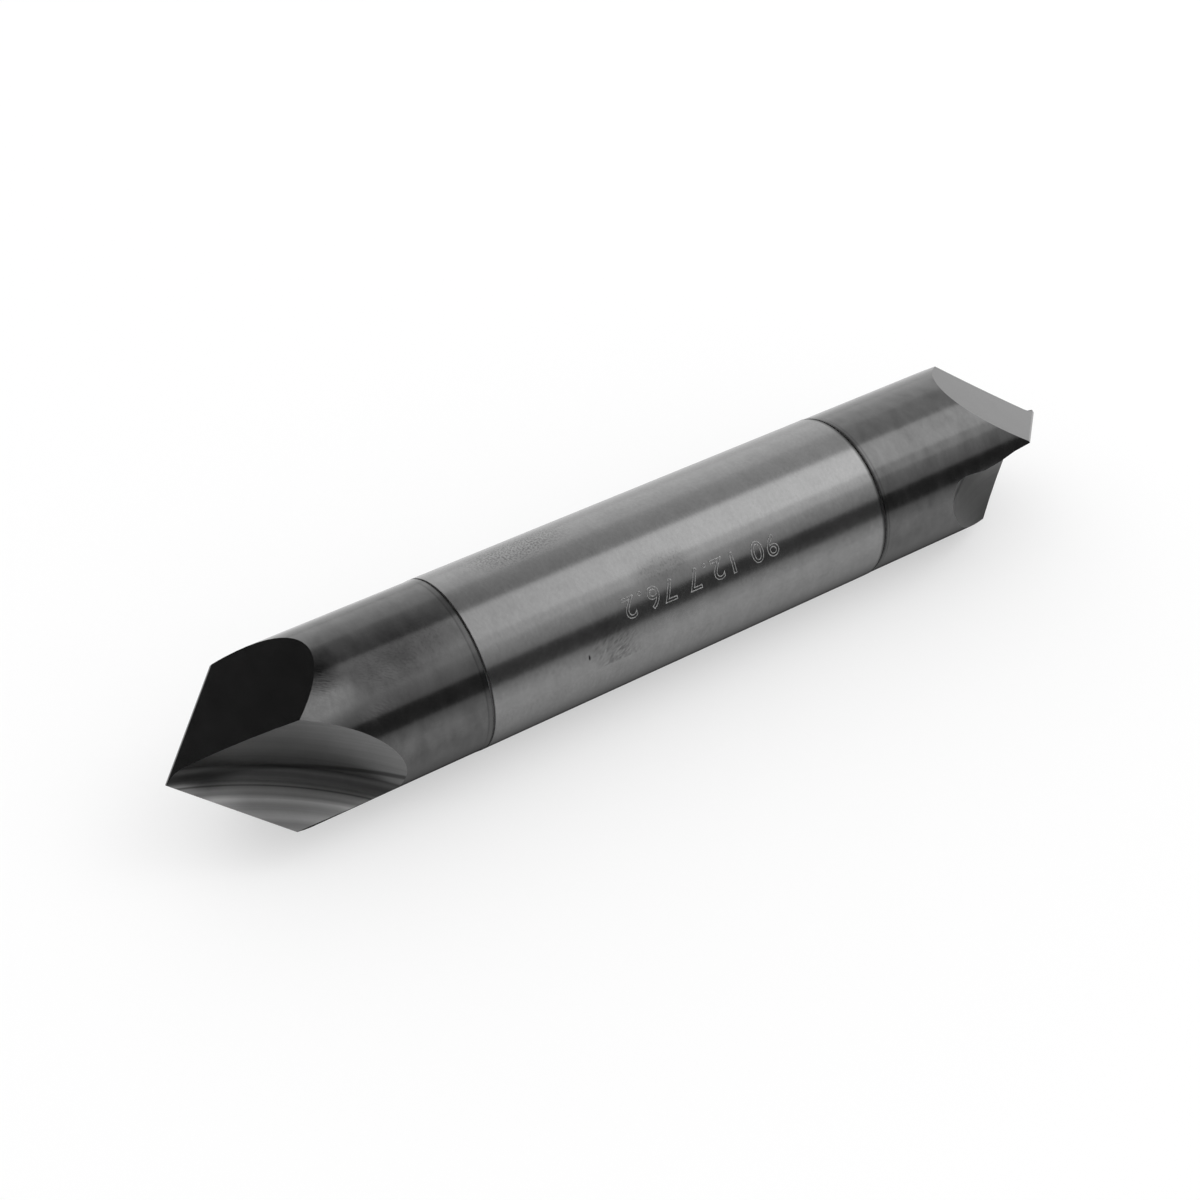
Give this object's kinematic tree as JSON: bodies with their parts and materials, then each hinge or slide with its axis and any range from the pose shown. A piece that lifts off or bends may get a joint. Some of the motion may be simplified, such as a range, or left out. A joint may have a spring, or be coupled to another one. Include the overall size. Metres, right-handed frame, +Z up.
{
  "type": "chamfer mill",
  "caption": "Double-ended solid carbide chamfer mill: a round ground shank with a spear point and straight flutes at each end.",
  "frame": {"origin": "middle of the shank, on the tool's axis", "axes": "+X along the axis towards the far point, +Z up with the tool lying on its side"},
  "size_m": [0.0762, 0.0126, 0.0126],
  "materials": {
    "carbide": "fine ground"
  },
  "bodies": {
    "root": {"chamfer_mill": "carbide"}
  },
  "joints": []
}
